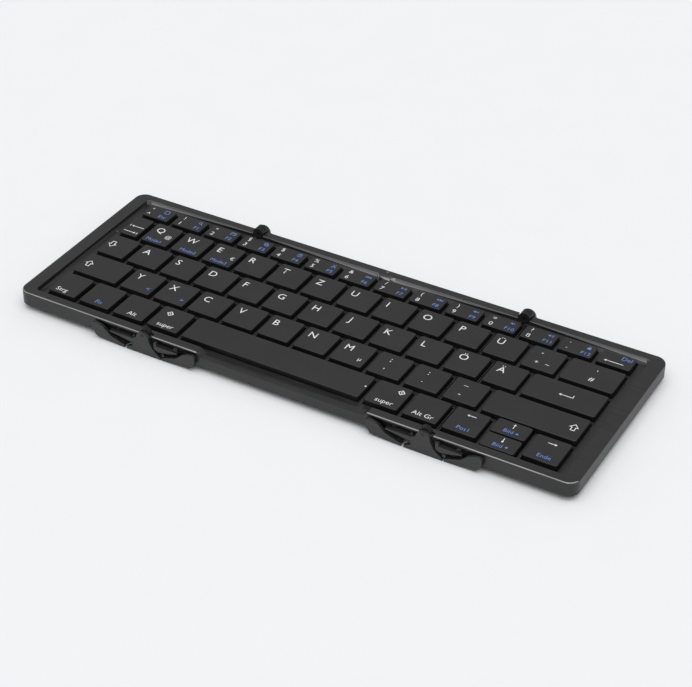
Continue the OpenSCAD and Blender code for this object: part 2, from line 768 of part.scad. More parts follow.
key_enter();
key_right_row_4();
key_shift_right();
key_arrow_left();
key_arrow_up();
key_arrow_down();
key_arrow_right();
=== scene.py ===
"""Looks of an opened folding keyboard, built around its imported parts.

Lengths are in millimetres up to the point where a mesh is filled, which turns them into metres.
X runs along the keyboard, Y from its front edge to its back, Z up from the table.
"""
import math

import bmesh
import bpy
import numpy as np
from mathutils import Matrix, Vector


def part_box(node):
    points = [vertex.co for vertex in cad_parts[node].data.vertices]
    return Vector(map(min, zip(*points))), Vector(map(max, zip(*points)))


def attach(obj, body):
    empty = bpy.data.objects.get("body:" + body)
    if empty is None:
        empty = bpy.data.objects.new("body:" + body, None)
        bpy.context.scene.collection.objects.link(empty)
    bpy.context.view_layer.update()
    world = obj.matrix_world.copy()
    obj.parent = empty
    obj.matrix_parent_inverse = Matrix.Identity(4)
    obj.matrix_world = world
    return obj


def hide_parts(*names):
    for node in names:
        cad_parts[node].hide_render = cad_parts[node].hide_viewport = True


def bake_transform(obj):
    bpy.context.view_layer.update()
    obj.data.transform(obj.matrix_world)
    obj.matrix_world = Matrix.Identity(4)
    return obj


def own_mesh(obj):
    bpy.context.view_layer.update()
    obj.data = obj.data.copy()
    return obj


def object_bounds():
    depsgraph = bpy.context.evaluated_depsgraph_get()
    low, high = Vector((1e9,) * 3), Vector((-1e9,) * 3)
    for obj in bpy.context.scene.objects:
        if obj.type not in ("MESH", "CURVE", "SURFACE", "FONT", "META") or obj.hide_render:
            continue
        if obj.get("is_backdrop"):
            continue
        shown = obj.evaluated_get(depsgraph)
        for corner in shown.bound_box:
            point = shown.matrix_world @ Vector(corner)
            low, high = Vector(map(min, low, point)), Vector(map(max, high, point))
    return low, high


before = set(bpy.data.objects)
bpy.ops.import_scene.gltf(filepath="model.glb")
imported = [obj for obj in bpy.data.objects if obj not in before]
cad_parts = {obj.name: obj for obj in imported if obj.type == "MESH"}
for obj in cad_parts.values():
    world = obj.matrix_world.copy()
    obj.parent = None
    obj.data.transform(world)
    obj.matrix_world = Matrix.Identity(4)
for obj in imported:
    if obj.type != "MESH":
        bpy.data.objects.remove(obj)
cad_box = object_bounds()

MM = 0.001

# ---------------------------------------------------------------- sizes of the keyboard

KEY_PITCH, ROW_PITCH, KEY_GAP, SHORT_CAP_D = 17.2, 17.4, 2.3, 8.9
CAP_H, CAP_R, CAP_ROOF, CAP_WALL = 3.0, 1.1, 1.0, 0.8
CASE_T, SIDE_RIM, LONG_RIM, SIDE_MARGIN, LONG_MARGIN = 6.8, 6.5, 4.1, 4.35, 2.8
CORNER_R, WELL_R, WELL_DEPTH, COVER_T, LIFT = 5.0, 1.6, 2.2, 0.9, 2.3
FOLD_IN_LEFT, FOLD_IN_RIGHT = 5.2, 2.0
BOARD_GAP, BOARD_T, SHEET_T, KEY_TRAVEL, SQUASHED_DOME_H = 0.2, 0.6, 0.15, 1.6, 0.65
SIDE_OF = {"left": -1, "centre": 0, "right": 1}

# Widths of the cells of each row in key pitches, back row first; the last cell takes the rest
ROWS = (
    (0.925, *[1] * 12),
    (0.644, 0.92, 0.953, 0.957, 0.957, *[1] * 8),
    (0.925, *[1] * 11),
    (1.42, *[1] * 10),
    (0.925, 1, 1, 1, 5, 1, 1, 1, 1),
)
ROW_UNITS = 13.924
LEFT_CELLS = (3, 4, 3, 3, 3)
RIGHT_FROM = (11, 11, 11, 10, 7)
HALF_CELL = 8
HALF_CLEAR = 0.8

FIELD_L = ROW_UNITS * KEY_PITCH - KEY_GAP
CAP_D = ROW_PITCH - KEY_GAP
FIELD_D = 4 * ROW_PITCH + SHORT_CAP_D
WELL_L, WELL_D = FIELD_L + 2 * SIDE_MARGIN, FIELD_D + 2 * LONG_MARGIN
BODY_L, BODY_D = WELL_L + 2 * SIDE_RIM, WELL_D + 2 * LONG_RIM

Z_BASE = LIFT
Z_COVER = Z_BASE + COVER_T
Z_SHEET = Z_COVER + BOARD_GAP + BOARD_T
Z_SHEET_TOP = Z_SHEET + SHEET_T
Z_RIM = Z_BASE + CASE_T
Z_CAP = Z_RIM - CAP_H
Z_DOME = Z_SHEET_TOP + KEY_TRAVEL + SQUASHED_DOME_H
Z_WEB_TOP = Z_RIM - WELL_DEPTH


def cell_x(row, cell):
    """Left edge of a cell: the widths of the cells before it, added up from the left end of the rows."""
    units = ROW_UNITS if cell > len(ROWS[row - 1]) else sum(ROWS[row - 1][:cell])
    return -(FIELD_L + KEY_GAP) / 2 + KEY_PITCH * units


def row_front(row):
    return -FIELD_D / 2 + (5 - row) * ROW_PITCH


def row_back(row):
    return row_front(row) + (SHORT_CAP_D if row == 1 else CAP_D)


HALF_BACK = row_back(5) + KEY_GAP - HALF_CLEAR
HALF_FRONT = row_front(5) - LONG_MARGIN + HALF_CLEAR
HALF_LINE = (HALF_BACK + HALF_FRONT) / 2
FOLD_LEFT = cell_x(1, LEFT_CELLS[0]) + FOLD_IN_LEFT
FOLD_RIGHT = cell_x(1, RIGHT_FROM[0]) - FOLD_IN_RIGHT


def cap_box(row, cell, half=0):
    """Sides of a cap seen from above, as (left, front, right, back). Half 1 is the upper half key and
    half -1 the lower one."""
    front, back = row_front(row), row_back(row)
    if half > 0:
        front, back = HALF_LINE + HALF_CLEAR / 2, HALF_BACK
    if half < 0:
        front, back = HALF_FRONT, HALF_LINE - HALF_CLEAR / 2
    return cell_x(row, cell) + KEY_GAP / 2, front, cell_x(row, cell + 1) - KEY_GAP / 2, back


def run(row, first, last):
    """Neighbouring keys of one row."""
    return [(row, cell, 0) for cell in range(first, last + 1)]


# The keys that each packed key part holds, as (row, cell, half)
KEYS = {
    "keys_left_row_1": run(1, 0, 2), "key_tab": run(2, 0, 0), "keys_left_row_2": run(2, 1, 3),
    "key_caps_lock": run(3, 0, 0), "keys_left_row_3": run(3, 1, 2), "key_shift_left": run(4, 0, 0),
    "keys_left_row_4": run(4, 1, 2), "key_ctrl": run(5, 0, 0), "key_fn": run(5, 1, 1),
    "key_alt": run(5, 2, 2),
    "keys_centre_row_1": run(1, 3, 10), "keys_centre_row_2": run(2, 4, 10),
    "keys_centre_row_3": run(3, 3, 10), "keys_centre_row_4": run(4, 3, 9),
    "key_super_left": run(5, 3, 3), "key_space": run(5, 4, 4), "key_super_right": run(5, 5, 5),
    "key_alt_gr": run(5, 6, 6),
    "keys_right_row_1": run(1, 11, 12), "key_delete": run(1, 13, 13), "keys_right_row_2": run(2, 11, 13),
    "key_right_row_3": run(3, 11, 11), "key_enter": run(3, 12, 12), "key_right_row_4": run(4, 10, 10),
    "key_shift_right": run(4, 11, 11), "key_arrow_left": run(5, 7, 7),
    "key_arrow_up": [(5, HALF_CELL, 1)], "key_arrow_down": [(5, HALF_CELL, -1)],
    "key_arrow_right": run(5, 9, 9),
}

# ---------------------------------------------------------------- shapes as arrays


def rounded_outline(box, inset, radius, arc=5, side=3):
    """Rectangle with rounded corners, drawn inside a box: at each corner a quarter circle whose radius is
    what the inset leaves of the corner radius, and between two corners a straight side in equal steps."""
    x0, y0, x1, y1 = box
    r = max(radius - inset, 0.06)
    d = inset + r
    corners = np.array([(x1 - d, y1 - d), (x0 + d, y1 - d), (x0 + d, y0 + d), (x1 - d, y0 + d)])
    turn = np.radians(np.arange(4)[:, None] * 90 + np.linspace(0, 90, arc + 1)[None, :])
    arcs = corners[:, None, :] + r * np.stack([np.cos(turn), np.sin(turn)], axis=-1)
    step = np.linspace(0, 1, side + 1)[1:-1][None, :, None]
    sides = arcs[:, -1:, :] * (1 - step) + np.roll(arcs[:, :1, :], -1, axis=0) * step
    return np.concatenate([arcs, sides], axis=1).reshape(-1, 2)


def at_height(outline, z):
    """A flat outline as points at one height, or each at a height of its own."""
    return np.column_stack([outline, np.broadcast_to(z, len(outline))])


def lofted(rings):
    """Closed skin over a stack of rings: point j of ring i joins its neighbours in the ring and the same
    point of the next ring by quads, and one flat face closes the first and the last ring."""
    rings = np.asarray(rings)
    m, n = rings.shape[:2]
    i, j = np.meshgrid(np.arange(m - 1), np.arange(n), indexing="ij")
    k = (j + 1) % n
    quads = np.stack([i * n + j, i * n + k, (i + 1) * n + k, (i + 1) * n + j], axis=-1).reshape(-1, 4)
    ends = np.stack([np.arange(n)[::-1], (m - 1) * n + np.arange(n)])
    return rings.reshape(-1, 3), [quads, ends]


def turned(x, y, profile, steps=48):
    """Body of revolution about an upright axis: each (radius, height) of the profile goes once round."""
    r, z = np.array(profile, float).T
    angle = np.linspace(0, 2 * np.pi, steps, endpoint=False)
    rings = np.stack([
        x + r[:, None] * np.cos(angle)[None, :],
        y + r[:, None] * np.sin(angle)[None, :],
        np.broadcast_to(z[:, None], (len(z), steps)),
    ], axis=-1)
    return lofted(rings)


def quarter(inset, z, r, steps=5):
    """Quarter circle of a rounded upper edge, from the wall at inset to the top at z, as (inset, height)."""
    a = np.linspace(0, np.pi / 2, steps + 1)
    return list(zip(inset + r * (1 - np.cos(a)), z - r * (1 - np.sin(a))))


def under_quarter(inset, z, r, steps=5):
    """The same for a lower edge, from the underside at z out to the wall at inset."""
    return [(i, 2 * z - h) for i, h in quarter(inset, z, r, steps)[::-1]]


def fill(name, shells, slots=None):
    """One mesh from shells of points and blocks of faces, in whole arrays, turned into metres."""
    points = np.concatenate([p for p, _ in shells]) * MM
    starts = np.cumsum([0] + [len(p) for p, _ in shells])[:-1]
    blocks = [block + start for (_, faces), start in zip(shells, starts) for block in faces]
    corners = np.concatenate([block.ravel() for block in blocks])
    sizes = np.concatenate([np.full(len(block), block.shape[1]) for block in blocks])
    mesh = bpy.data.meshes.new(name)
    mesh.vertices.add(len(points))
    mesh.vertices.foreach_set("co", points.ravel())
    mesh.loops.add(len(corners))
    mesh.loops.foreach_set("vertex_index", corners.astype(np.int32))
    mesh.polygons.add(len(sizes))
    mesh.polygons.foreach_set("loop_start", (np.cumsum(sizes) - sizes).astype(np.int32))
    if slots is not None:
        counts = [sum(len(block) for block in faces) for _, faces in shells]
        mesh.polygons.foreach_set("material_index", np.repeat(slots, counts).astype(np.int32))
    mesh.update(calc_edges=True)
    return mesh


def place(name, mesh, body, materials, replaced=(), soft_angle=35):
    """Puts a finished mesh into the scene, smooth across its low edges, with its finishes. It
    rides on the body, if one is named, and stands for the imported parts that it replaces."""
    mesh.name = name
    for material in materials:
        mesh.materials.append(material)
    mesh.shade_smooth()
    mesh.set_sharp_from_angle(angle=math.radians(soft_angle))
    piece = bpy.data.objects.new(name, mesh)
    bpy.context.scene.collection.objects.link(piece)
    if body:
        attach(piece, body)
    if replaced:
        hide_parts(*replaced)
    return piece


# ---------------------------------------------------------------- finishes


class Nodes:
    """Small helper that adds and joins the nodes of one material."""

    def __init__(self, name):
        self.material = bpy.data.materials.new(name)
        self.material.use_nodes = True
        self.tree = self.material.node_tree
        self.shader = self.tree.nodes["Principled BSDF"]
        self.place = self.add("ShaderNodeTexCoord").outputs["Object"]

    def add(self, kind, **values):
        node = self.tree.nodes.new(kind)
        for key, value in values.items():
            setattr(node, key, value)
        return node

    def join(self, a, b):
        self.tree.links.new(a, b)

    def stretched(self, scale):
        node = self.add("ShaderNodeMapping")
        node.inputs["Scale"].default_value = scale
        self.join(self.place, node.inputs["Vector"])
        return node.outputs["Vector"]

    def noise(self, scale, detail=2.0, stretch=(1, 1, 1)):
        node = self.add("ShaderNodeTexNoise")
        node.inputs["Scale"].default_value = scale
        node.inputs["Detail"].default_value = detail
        self.join(self.stretched(stretch), node.inputs["Vector"])
        return node.outputs["Fac"]

    def between(self, value, low, high, start=0.3, end=0.7):
        node = self.add("ShaderNodeMapRange")
        node.inputs["From Min"].default_value = start
        node.inputs["From Max"].default_value = end
        node.inputs["To Min"].default_value = low
        node.inputs["To Max"].default_value = high
        self.join(value, node.inputs["Value"])
        return node.outputs["Result"]

    def blend(self, factor, a, b):
        node = self.add("ShaderNodeMix", data_type="RGBA")
        for socket, colour in ((node.inputs[6], a), (node.inputs[7], b)):
            if isinstance(colour, tuple):
                socket.default_value = (*colour, 1)
            else:
                self.join(colour, socket)
        self.join(factor, node.inputs[0])
        return node.outputs[2]

    def raised(self, height, distance, strength=0.5):
        node = self.add("ShaderNodeBump")
        node.inputs["Distance"].default_value = distance * MM
        node.inputs["Strength"].default_value = strength
        self.join(height, node.inputs["Height"])
        self.join(node.outputs["Normal"], self.shader.inputs["Normal"])

    def set(self, **values):
        for key, value in values.items():
            socket = self.shader.inputs[key.replace("_", " ")]
            if isinstance(value, bpy.types.NodeSocket):
                self.join(value, socket)
            else:
                socket.default_value = value
        return self.material


def tinted(name, dark, light, rough, fine, broad=45, stretch=(1, 1, 1), raise_by=0.01, **values):
    """A finish whose colour and roughness drift with a broad noise, under a fine raised grain."""
    n = Nodes(name)
    drift = n.noise(broad, 3)
    grain = n.noise(fine, 3, stretch)
    n.raised(grain, raise_by)
    colour = n.blend(n.between(grain, 0, 1, 0.35, 0.65), dark, light)
    return n.set(Base_Color=colour, Roughness=n.between(drift, *rough), **values)


def brushed_black(name, dark=0.010, light=0.019, rough=(0.34, 0.47)):
    """Black coated metal with fine lines along the keyboard and a faint cloudiness."""
    n = Nodes(name)
    lines = n.noise(2600, 3, (0.035, 1, 1))
    specks = n.noise(3800, 2)
    clouds = n.noise(38, 3)
    colour = n.blend(n.between(lines, 0, 1, 0.36, 0.64), (dark,) * 3, (light, light, light * 1.04))
    worn = n.blend(n.between(clouds, 0, 0.35, 0.45, 0.75), colour, (light * 1.35,) * 3)
    height = n.add("ShaderNodeMath", operation="ADD")
    n.join(lines, height.inputs[0])
    n.join(specks, height.inputs[1])
    n.raised(height.outputs[0], 0.006, 0.55)
    return n.set(Base_Color=worn, Roughness=n.between(lines, *rough))


def cap_plastic(name):
    """Matt black moulded plastic with a fine spark-eroded grain on top; the skirts below the top edge get
    painted shade, a much darker colour that stands in for the shade on the walls.
    """
    n = Nodes(name)
    grain = n.noise(5200, 2)
    clouds = n.noise(70, 3)
    split = n.add("ShaderNodeSeparateXYZ")
    n.join(n.place, split.inputs[0])
    # Painted shade: this mask is 1 on the cap's top and 0 on the walls below it, which are coloured near
    # black in place of the shade that falls on them.
    top = n.between(split.outputs["Z"], 0, 1, (Z_RIM - 0.55) * MM, (Z_RIM - 0.2) * MM)
    face = n.blend(n.between(clouds, 0, 1), (0.0115, 0.0115, 0.0125), (0.0155, 0.0152, 0.0165))
    colour = n.blend(top, (0.0025, 0.0025, 0.003), face)
    n.raised(grain, 0.008, 0.45)
    return n.set(Base_Color=colour, Roughness=n.between(grain, 0.42, 0.56), IOR=1.5)


def printed(name, colour):
    """Legend ink: slightly uneven, with a fine grain."""
    n = Nodes(name)
    specks = n.noise(3000, 2)
    faded = tuple(0.86 * c for c in colour)
    n.raised(specks, 0.004, 0.3)
    ink = n.blend(n.between(specks, 0, 1), faded, colour)
    return n.set(Base_Color=ink, Roughness=n.between(specks, 0.5, 0.62))


def masked_board(name):
    """Green solder mask with lighter copper tracks showing through along the board."""
    n = Nodes(name)
    tracks = n.noise(700, 1, (0.12, 1, 1))
    colour = n.blend(n.between(tracks, 0, 1, 0.52, 0.56), (0.006, 0.045, 0.022), (0.03, 0.11, 0.05))
    n.raised(tracks, 0.03, 0.3)
    return n.set(Base_Color=colour, Roughness=n.between(tracks, 0.3, 0.38))


FRAME_METAL = brushed_black("frame_brushed_black")
COVER_METAL = brushed_black("cover_satin_black", 0.009, 0.015)
HINGE_METAL = brushed_black("hinge_coated_black", 0.012, 0.024, (0.22, 0.34))
# Painted highlight: a light grey coat laid on the front-facing rounded edges of the frames, standing in for
# the light that these edges catch.
EDGE_HIGHLIGHT = brushed_black("frame_painted_edge_highlight", 0.22, 0.32, (0.24, 0.34))
CAP_PLASTIC = cap_plastic("keycap_black_plastic")
INK_WHITE = printed("legend_white_ink", (0.90, 0.90, 0.92))
INK_BLUE = printed("legend_blue_ink", (0.15, 0.27, 0.68))
PIN_STEEL = tinted("pin_blackened_steel", (0.03,) * 3, (0.06,) * 3, (0.3, 0.42), 2400,
                   stretch=(1, 0.05, 1), Metallic=1.0)
SCREW_STEEL = tinted("screw_blackened_steel", (0.05,) * 3, (0.09,) * 3, (0.32, 0.45), 3000, Metallic=1.0)
FOOT_RUBBER = tinted("foot_black_rubber", (0.008,) * 3, (0.018,) * 3, (0.7, 0.85), 2600, raise_by=0.03)
DOME_RUBBER = tinted("dome_black_silicone", (0.004,) * 3, (0.010,) * 3, (0.6, 0.75), 1800)
BOARD_MASK = masked_board("board_green_mask")
CABLE_FILM = tinted("cable_amber_film", (0.30, 0.11, 0.012), (0.42, 0.17, 0.02), (0.25, 0.35), 900,
                    stretch=(0.05, 1, 1))
BATTERY_FOIL = tinted("battery_silver_foil", (0.42, 0.43, 0.45), (0.60, 0.61, 0.63), (0.3, 0.45), 500,
                      raise_by=0.05, Metallic=0.9)
MODULE_CAN = tinted("module_tinned_can", (0.35,) * 3, (0.5,) * 3, (0.3, 0.42), 1500, Metallic=1.0)
SOCKET_STEEL = tinted("socket_nickel", (0.48,) * 3, (0.60, 0.60, 0.59), (0.22, 0.34), 2400,
                      stretch=(1, 0.06, 1), Metallic=1.0)
LENS = tinted("light_smoked_lens", (0.10, 0.11, 0.12), (0.16, 0.17, 0.19), (0.12, 0.2), 900)
PAPER = tinted("studio_pale_floor", (0.878, 0.888, 0.898), (0.885, 0.895, 0.905), (0.75, 0.85), 40, broad=2,
               raise_by=0.0)

# ---------------------------------------------------------------- key caps

EDGE_R, DRAFT, DISH = 0.35, 0.1, 0.07
STEM_R = 1.5
BAR_HALF_L, BAR_HALF_D, BAR_RIGHT, BAR_FROM_BACK = 1.95, 0.28, 0.5, 13.5
# The keys F and J, which have a bar that a finger can feel
HOMING = ((3, 4, 0), (3, 7, 0))


def dish(inset, half):
    """Height of a cap's top: lowest in the middle and rising to the rim along half a cosine."""
    t = np.clip(np.asarray(inset, float) / half, 0, 1)
    return Z_RIM - DISH * (1 - np.cos(np.pi * t)) / 2


def half_side(box):
    """Half of a cap's shorter side."""
    return min(box[2] - box[0], box[3] - box[1]) / 2


def cap_shell(box):
    """Cap as a profile carried round its outline: up the inside of the skirt, round its foot, up the drafted
    outer wall, round the upper edge and in over the dished top. The profile is given as (inset, height)."""
    half = half_side(box)
    tops = np.linspace(DRAFT + EDGE_R, half - 0.35, 7)[1:]
    profile = [
        (CAP_WALL, Z_RIM - CAP_ROOF), (CAP_WALL, Z_CAP + 0.15), (CAP_WALL - 0.12, Z_CAP),
        (0.12, Z_CAP), (0, Z_CAP + 0.12),
        *quarter(DRAFT, Z_RIM, EDGE_R),
        *zip(tops, dish(tops - DRAFT - EDGE_R, half)),
    ]
    return lofted([at_height(rounded_outline(box, d, CAP_R), z) for d, z in profile])


def stem_shell(box):
    """Round stem under the cap's roof, with a blunt foot on the dome."""
    x, y = (box[0] + box[2]) / 2, (box[1] + box[3]) / 2
    foot = Z_DOME + 0.1
    roof = Z_RIM - CAP_ROOF + 0.02
    return turned(x, y, [(0.5, foot), (STEM_R - 0.2, foot), (STEM_R, foot + 0.2), (STEM_R, roof)], 24)


def homing_bar(box):
    """Low rounded bar near the front of a cap, as a stack of rounded outlines."""
    x, y = (box[0] + box[2]) / 2 + BAR_RIGHT, box[3] - BAR_FROM_BACK
    bar = (x - BAR_HALF_L, y - BAR_HALF_D, x + BAR_HALF_L, y + BAR_HALF_D)
    z = Z_RIM - 0.03
    rings = [(0, z), (0, z + 0.12), (0.1, z + 0.2), (0.2, z + 0.22)]
    return lofted([at_height(rounded_outline(bar, d, 0.27), h) for d, h in rings])


def make_caps():
    for node, keys in KEYS.items():
        shells = []
        for key in keys:
            box = cap_box(*key)
            shells += [cap_shell(box), stem_shell(box)]
            if key in HOMING:
                shells.append(homing_bar(box))
        place(node + "_caps", fill(node, shells), node, [CAP_PLASTIC], [node])


# ---------------------------------------------------------------- legends


def stroke(points, width=0.34, closed=False):
    """Flat line along a polyline: both sides lie half a width off it, along the mean of the two normals
    that meet at a point, lengthened by one over the cosine of half the turn."""
    p = np.array(points, float)
    step = (np.roll(p, -1, axis=0) - p) if closed else np.diff(p, axis=0)
    step /= np.linalg.norm(step, axis=1)[:, None]
    normal = np.column_stack([-step[:, 1], step[:, 0]])
    before = np.roll(normal, 1, axis=0) if closed else np.vstack([normal[:1], normal])
    after = normal if closed else np.vstack([normal, normal[-1:]])
    mean = before + after
    mean /= np.linalg.norm(mean, axis=1)[:, None]
    off = mean * (width / 2 / np.clip((mean * after).sum(axis=1), 0.5, 1))[:, None]
    n = len(p)
    j = np.arange(n if closed else n - 1)
    k = (j + 1) % n
    return np.vstack([p - off, p + off]), [np.stack([j, k, n + k, n + j], axis=1)]


def patch(points):
    """Filled shape bounded by the points."""
    return np.array(points, float), [np.arange(len(points))[None, :]]


def arc(x, y, r, start=0, end=360, steps=16):
    """Points along an arc. A full circle leaves out its last point, which is its first."""
    a = np.radians(np.linspace(start, end, steps + 1))
    points = np.column_stack([x + r * np.cos(a), y + r * np.sin(a)])
    return points[:-1] if end - start == 360 else points


def frame_of(x0, y0, x1, y1):
    return [(x0, y0), (x1, y0), (x1, y1), (x0, y1)]


def arrow(length, head=0.75, width=0.38):
    """Arrow that points left, centred on its length."""
    tip, neck = -length / 2, -length / 2 + 1.5 * head
    return [stroke([(neck - 0.1, 0), (length / 2, 0)], width), patch([(tip, 0), (neck, -head), (neck, head)])]


def turned_by(shapes, degrees):
    """The shapes turned counterclockwise about their middle."""
    a = math.radians(degrees)
    turn = np.array([[math.cos(a), math.sin(a)], [-math.sin(a), math.cos(a)]])
    return [(p @ turn, faces) for p, faces in shapes]


def moved(shapes, dx, dy):
    return [(p + (dx, dy), faces) for p, faces in shapes]


def hollow_arrow(size, way):
    """Outlined arrow that points up (way 1) or down (way -1)."""
    outline = np.array([
        (0, 2), (1.75, 0.1), (0.8, 0.1), (0.8, -1.9), (-0.8, -1.9), (-0.8, 0.1), (-1.75, 0.1),
    ])
    return [stroke(outline * (size / 4, way * size / 4), 0.36, closed=True)]


def speaker(waves):
    """Loudspeaker with an arc of each given radius in front of it."""
    body = [patch([(-1.1, -0.28), (-0.7, -0.28), (-0.15, -0.75), (-0.15, 0.75), (-0.7, 0.28), (-1.1, 0.28)])]
    return body + [stroke(arc(-0.15, 0, r, -45, 45, 6), 0.2) for r in waves]


def play(x, way=1):
    return patch([(x - 0.45 * way, -0.65), (x + 0.5 * way, 0), (x - 0.45 * way, 0.65)][::way])


def bar(x):
    return stroke([(x, -0.65), (x, 0.65)], 0.28)


# Pictures printed on the keys, each drawn about its own middle
ICONS = {
    "home": [stroke(rounded_outline((-0.95, -0.95, 0.95, 0.95), 0, 0.4, 3, 1), 0.28, closed=True)],
    "search": [stroke(arc(-0.2, 0.2, 0.6), 0.26, closed=True), stroke([(0.25, -0.25), (0.95, -0.95)], 0.34)],
    "window": [stroke(frame_of(-1.05, -0.75, 1.05, 0.75), 0.24, closed=True),
               stroke([(-1.05, 0.3), (1.05, 0.3)], 0.24)],
    "copy": [stroke(frame_of(-0.9, -0.25, 0.3, 0.95), 0.22, closed=True),
             stroke(frame_of(-0.3, -0.95, 0.9, 0.25), 0.22, closed=True)],
    "paste": [stroke(frame_of(-0.75, -0.95, 0.75, 0.7), 0.22, closed=True),
              patch(frame_of(-0.35, 0.5, 0.35, 0.98)),
              stroke([(-0.35, 0.05), (0.35, 0.05)], 0.2), stroke([(-0.35, -0.4), (0.35, -0.4)], 0.2)],
    "cut": [stroke([(-0.7, 0.95), (0.45, -0.45)], 0.24), stroke([(0.7, 0.95), (-0.45, -0.45)], 0.24),
            stroke(arc(-0.62, -0.68, 0.28, steps=10), 0.18, closed=True),
            stroke(arc(0.62, -0.68, 0.28, steps=10), 0.18, closed=True)],
    "previous": [bar(-1.1), play(-0.4, -1), play(0.6, -1)],
    "play_pause": [play(-0.6), bar(0.35), bar(0.95)],
    "next": [play(-0.6), play(0.4), bar(1.1)],
    "mute": speaker(()) + [stroke([(0.2, -0.4), (1.0, 0.4)], 0.2), stroke([(0.2, 0.4), (1.0, -0.4)], 0.2)],
    "quieter": speaker((0.65,)),
    "louder": speaker((0.65, 1.15)),
    "lock": [patch(frame_of(-0.75, -0.95, 0.75, 0.15)), stroke(arc(0, 0.15, 0.48, 0, 180, 8), 0.24)],
    "backspace": arrow(8.5, 0.75, 0.38),
    "tab_back": moved(arrow(6.6), 0.45, 0) + [stroke([(-3.6, -0.75), (-3.6, 0.75)])],
    "tab_on": moved(turned_by(arrow(6.6), 180), -0.45, 0) + [stroke([(3.6, -0.75), (3.6, 0.75)])],
    "caps": hollow_arrow(4.2, -1),
    "shift": hollow_arrow(4.0, 1),
    "enter": moved(arrow(6.2, 0.75), 0, -0.5) + [stroke([(2.93, -0.67), (2.93, 1.1)])],
    "left": arrow(4.0, 0.7),
    "right": turned_by(arrow(4.0, 0.7), 180),
    "up": turned_by(arrow(3.2, 0.7), -90),
    "down": turned_by(arrow(3.2, 0.7), 90),
    "diamond": [stroke([(1.25, 0), (0, 1.25), (-1.25, 0), (0, -1.25)], 0.36, closed=True),
                patch([(0.42, 0), (0, 0.42), (-0.42, 0), (0, -0.42)])],
    "dot": [patch(arc(0, 0, 0.42, steps=18))],
    "page_up": [patch([(-0.75, -0.55), (0.75, -0.55), (0, 0.7)])],
    "page_down": [patch([(-0.75, 0.55), (0, -0.7), (0.75, 0.55)])],
}

WHITE, BLUE = 0, 1
LETTER_H, SIGN_H, NUMBER_H, WORD_H, LABEL_H = 3.6, 2.3, 2.5, 2.4, 2.1


def number_key(sign, number, icon, label, dx=3.3, blue_dx=11.8):
    """Legends of a back-row key: the shifted sign over the number, and a blue picture over its F number."""
    return [(WHITE, sign, dx, 2.3, SIGN_H), (WHITE, number, dx, 6.5, NUMBER_H),
            (BLUE, icon, blue_dx, 2.4, 1.15), (BLUE, label, blue_dx, 6.5, LABEL_H)]


def letter_key(letter, *more):
    return [(WHITE, letter, None, 4.9, LETTER_H), *more]


